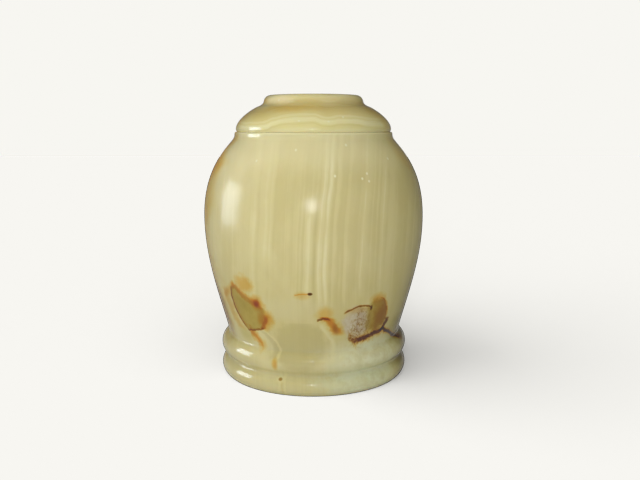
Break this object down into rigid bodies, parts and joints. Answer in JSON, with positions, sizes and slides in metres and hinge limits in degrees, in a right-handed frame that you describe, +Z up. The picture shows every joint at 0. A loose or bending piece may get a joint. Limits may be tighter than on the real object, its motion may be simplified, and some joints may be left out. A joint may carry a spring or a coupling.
{
  "type": "onyx urn",
  "caption": "Lidded memorial urn turned from banded green onyx: round-shouldered hollow vessel on a rolled foot, with a domed lift-off lid.",
  "frame": {"origin": "middle of the flat underside of the vessel", "axes": "+Z up along the axis of turning; the picture looks along +Y, with +X to its right"},
  "size_m": [0.19, 0.19, 0.2403],
  "materials": {
    "onyx_vessel": "polished translucent banded onyx, pale yellow-green with upright pale bands, rust-edged inclusions low down",
    "onyx_lid": "polished translucent banded onyx, warmer yellow with level wavy pale bands"
  },
  "bodies": {
    "root": {"vessel": "onyx_vessel", "lid": "onyx_lid"}
  },
  "joints": []
}
